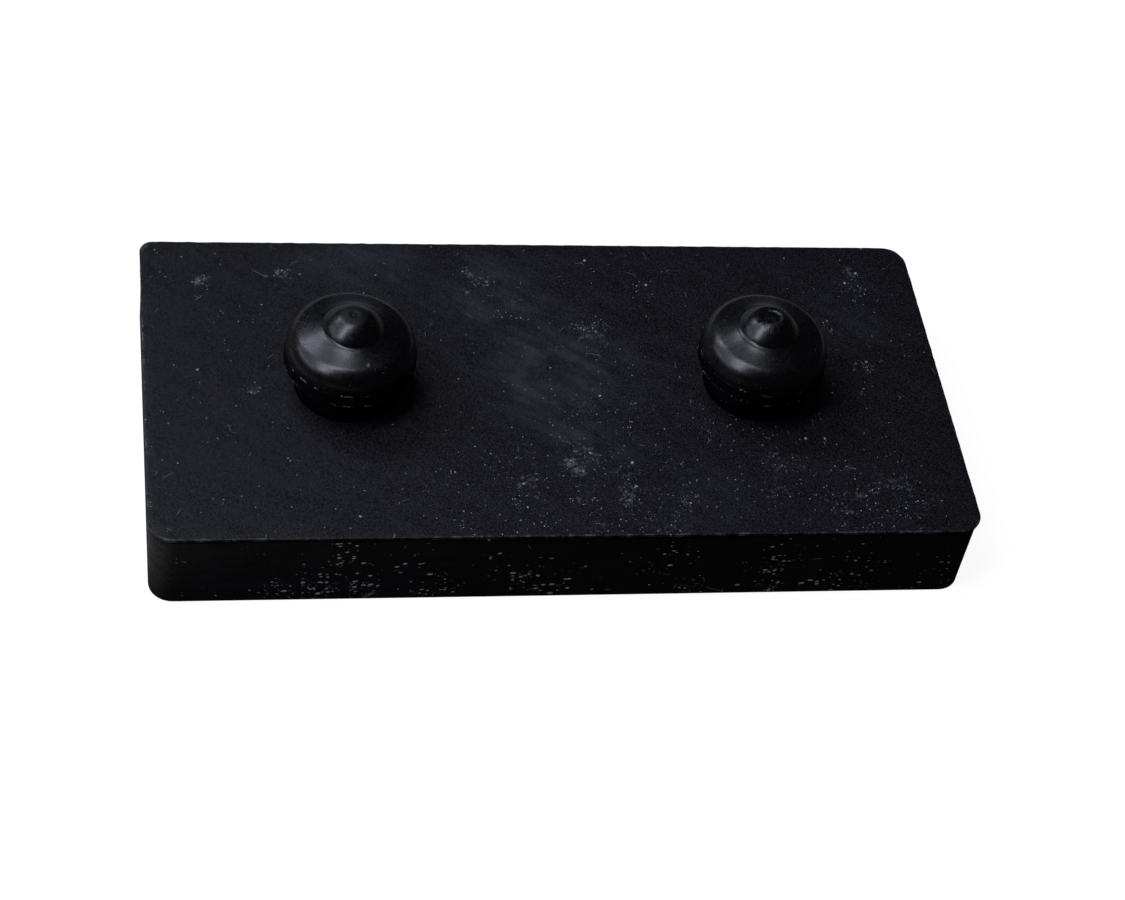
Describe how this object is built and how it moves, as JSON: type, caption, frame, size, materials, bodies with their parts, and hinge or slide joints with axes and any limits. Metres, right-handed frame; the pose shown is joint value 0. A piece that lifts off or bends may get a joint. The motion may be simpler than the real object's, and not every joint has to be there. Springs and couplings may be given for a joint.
{
  "type": "bump pad",
  "caption": "Flat rectangular rubber bump pad with mushroom-shaped push-in studs on its mounting face and a steel plate bonded inside.",
  "frame": {"origin": "middle of the contact face, the broad flat face away from the studs, on which the pad stands", "axes": "+X along the pad from the left stud to the right stud, +Y across the pad, +Z from the contact face up through the seat face to the tips of the studs"},
  "size_m": [0.1, 0.049, 0.0237],
  "materials": {
    "block_rubber": "matte",
    "stud_rubber": "satin",
    "plate_steel": "satin"
  },
  "bodies": {
    "root": {"wear_block": "block_rubber", "seat_layer": "block_rubber", "stiffener_plate": "plate_steel", "left_stud": "stud_rubber", "right_stud": "stud_rubber"}
  },
  "joints": []
}
